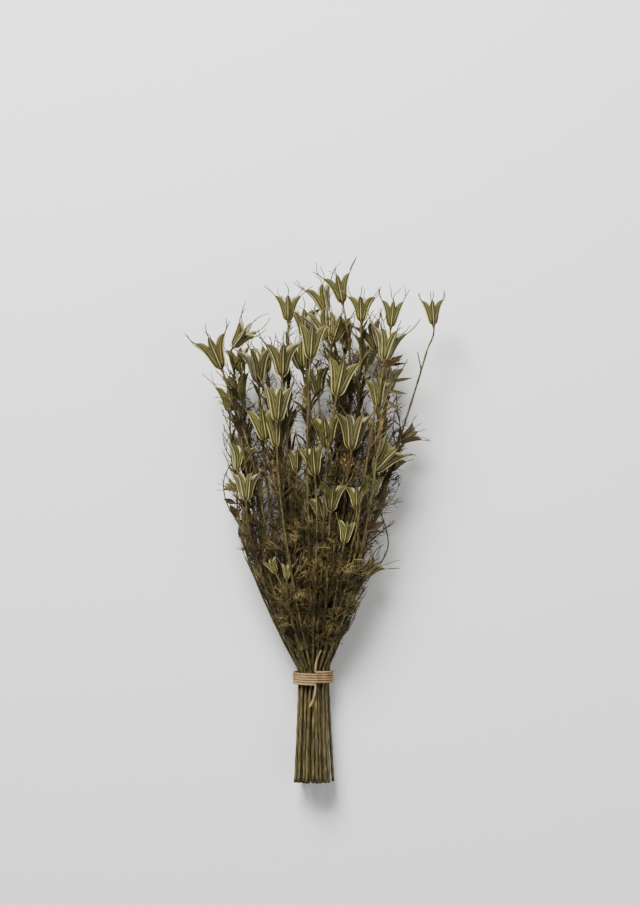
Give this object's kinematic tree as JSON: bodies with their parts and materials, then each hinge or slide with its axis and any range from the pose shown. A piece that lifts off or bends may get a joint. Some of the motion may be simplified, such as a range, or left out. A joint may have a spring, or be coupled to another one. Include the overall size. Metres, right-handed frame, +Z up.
{
  "type": "dried nigella seed head bunch",
  "caption": "Lying bunch of dried star-shaped nigella seed heads on leafy stems, tied round with jute twine near the cut ends.",
  "frame": {"origin": "middle of the tie's flat underside, on the surface that the bunch lies on", "axes": "+Y from the cut ends along the stems to the seed heads, +Z up from the surface, +X across the bunch"},
  "size_m": [0.2225, 0.4498, 0.1192],
  "materials": {
    "dry_plant": "matt dry olive and straw",
    "jute": "rough twisted jute twine"
  },
  "bodies": {
    "root": {"stem_01": "dry_plant", "stem_02": "dry_plant", "stem_03": "dry_plant", "stem_04": "dry_plant", "stem_05": "dry_plant", "stem_06": "dry_plant", "stem_07": "dry_plant", "stem_08": "dry_plant", "stem_09": "dry_plant", "stem_10": "dry_plant", "stem_11": "dry_plant", "stem_12": "dry_plant", "stem_13": "dry_plant", "stem_14": "dry_plant", "stem_15": "dry_plant", "stem_16": "dry_plant", "stem_17": "dry_plant", "stem_18": "dry_plant", "stem_19": "dry_plant", "stem_20": "dry_plant", "stem_21": "dry_plant", "stem_22": "dry_plant", "stem_23": "dry_plant", "stem_24": "dry_plant", "stem_25": "dry_plant", "stem_26": "dry_plant", "stem_27": "dry_plant", "stem_28": "dry_plant", "stem_29": "dry_plant", "stem_30": "dry_plant", "stem_31": "dry_plant", "stem_32": "dry_plant", "stem_33": "dry_plant", "stem_34": "dry_plant", "stem_35": "dry_plant", "stem_36": "dry_plant", "stem_37": "dry_plant", "stem_38": "dry_plant", "stem_39": "dry_plant", "stem_40": "dry_plant", "stem_41": "dry_plant", "stem_42": "dry_plant", "stem_43": "dry_plant", "tie": "jute"}
  },
  "joints": []
}
